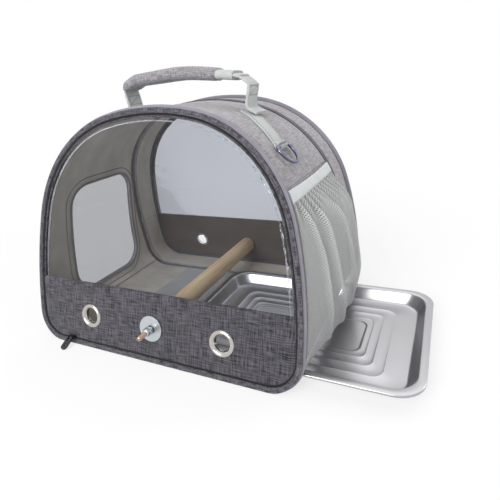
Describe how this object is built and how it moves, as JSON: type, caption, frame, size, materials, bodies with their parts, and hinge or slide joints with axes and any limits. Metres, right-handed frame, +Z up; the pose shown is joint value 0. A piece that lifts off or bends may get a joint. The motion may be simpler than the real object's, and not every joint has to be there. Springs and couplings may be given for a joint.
{
  "type": "bird travel carrier",
  "caption": "Soft arched carrier with a clear front, mesh side pocket, wooden perch, padded handle and a steel tray that slides out of the side.",
  "frame": {"origin": "centre of the underside", "axes": "+Z up, the clear front faces -Y, the tray leaves through the side that faces +X"},
  "size_m": [0.503, 0.3381, 0.3284],
  "materials": {
    "heather_dark": "woven heather polyester, coated",
    "heather_mid": "woven heather polyester, coated",
    "binding_grey": "woven edge binding",
    "zip_black": "coil zip on woven tape",
    "clear_sheet": "clear flexible vinyl",
    "window_mesh": "fine knitted mesh",
    "pocket_mesh": "warp knitted mesh",
    "elastic_white": "woven elastic",
    "webbing_grey": "woven webbing",
    "handle_grey": "woven heather polyester over foam",
    "board_grey": "covered stiffening board",
    "beech": "sanded, unfinished",
    "stainless": "bright pressed sheet",
    "zinc": "zinc plated",
    "yellow_zinc": "yellow zinc plated",
    "nickel": "nickel plated",
    "ring_metal": "gunmetal plated",
    "spring_steel": "flat spring steel"
  },
  "bodies": {
    "root": {"front_hoop": "spring_steel", "front_binding": "binding_grey", "front_zip": "zip_black", "front_band_zip": "zip_black", "front_band": "heather_dark", "front_eyelets": "nickel", "roof_panel": "heather_mid", "left_wall": "heather_mid", "left_window": "window_mesh", "left_window_binding": "binding_grey", "right_wall": "heather_mid", "base_panel": "heather_dark", "floor_board": "board_grey", "rear_zip_front": "zip_black", "rear_zip_lower": "zip_black", "rear_tub": "heather_mid", "rear_tub_binding": "binding_grey", "rear_band": "heather_dark", "rear_eyelets": "nickel", "perch": "beech", "perch_studs": "yellow_zinc", "perch_washers": "zinc", "right_strap": "webbing_grey", "left_strap": "webbing_grey", "handle_tabs": "webbing_grey", "front_slider": "zip_black", "rear_slider": "zip_black"},
    "front_door": {"front_door_zip": "zip_black", "front_door_border": "heather_dark", "front_window": "clear_sheet"},
    "rear_cover": {"rear_cover_zip": "zip_black", "rear_cover_rim": "heather_mid", "rear_hoop": "spring_steel", "rear_cover_binding": "binding_grey", "rear_cover_border": "heather_dark", "rear_window": "clear_sheet"},
    "side_flap": {"side_flap": "heather_mid", "mesh_pocket": "pocket_mesh", "pocket_elastic": "elastic_white"},
    "tray": {"tray": "stainless"},
    "handle": {"handle_webbing": "webbing_grey", "handle_pad": "handle_grey"},
    "right_d_ring": {"right_d_ring": "ring_metal"},
    "left_d_ring": {"left_d_ring": "ring_metal"},
    "front_wing_nut": {"front_wing_nut": "zinc"},
    "rear_wing_nut": {"rear_wing_nut": "zinc"},
    "front_pull": {"front_pull": "zip_black"},
    "rear_pull": {"rear_pull": "zip_black"}
  },
  "joints": [
    {"name": "front_door_hinge", "type": "hinge", "parent": "root", "child": "front_door", "pos_m": [0, -0.1305, 0.0843], "axis": [1, 0, 0], "range_deg": [0, 115]},
    {"name": "rear_cover_hinge", "type": "hinge", "parent": "root", "child": "rear_cover", "pos_m": [0, 0.13752, 0.0903], "axis": [-1, 0, 0], "range_deg": [0, 110]},
    {"name": "side_flap_hinge", "type": "hinge", "parent": "root", "child": "side_flap", "pos_m": [0.1626, 0, 0.2038], "axis": [0, -1, 0], "range_deg": [0, 105]},
    {"name": "tray_slide", "type": "slide", "parent": "root", "child": "tray", "axis": [1, 0, 0], "range_m": [-0.156, 0.14]},
    {"name": "handle_fold", "type": "hinge", "parent": "root", "child": "handle", "pos_m": [0, 0, 0.29358], "axis": [1, 0, 0], "range_deg": [-50, 50]},
    {"name": "right_d_ring_swing", "type": "hinge", "parent": "root", "child": "right_d_ring", "pos_m": [0.14219, -0.041, 0.24045], "axis": [0, -1, 0], "range_deg": [0, 120]},
    {"name": "left_d_ring_swing", "type": "hinge", "parent": "root", "child": "left_d_ring", "pos_m": [-0.14219, -0.041, 0.24045], "axis": [0, 1, 0], "range_deg": [0, 120]},
    {"name": "front_wing_nut_spin", "type": "hinge", "parent": "root", "child": "front_wing_nut", "pos_m": [0, -0.15, 0.042], "axis": [0, -1, 0], "continuous": true},
    {"name": "rear_wing_nut_spin", "type": "hinge", "parent": "root", "child": "rear_wing_nut", "pos_m": [0, 0.152, 0.042], "axis": [0, 1, 0], "continuous": true},
    {"name": "front_pull_swing", "type": "hinge", "parent": "root", "child": "front_pull", "pos_m": [-0.132, -0.15369, 0.00968], "axis": [-1, 0, 0], "range_deg": [0, 95]},
    {"name": "rear_pull_swing", "type": "hinge", "parent": "root", "child": "rear_pull", "pos_m": [-0.19471, 0.08573, 0.07], "axis": [0, 1, 0], "range_deg": [0, 115]}
  ]
}
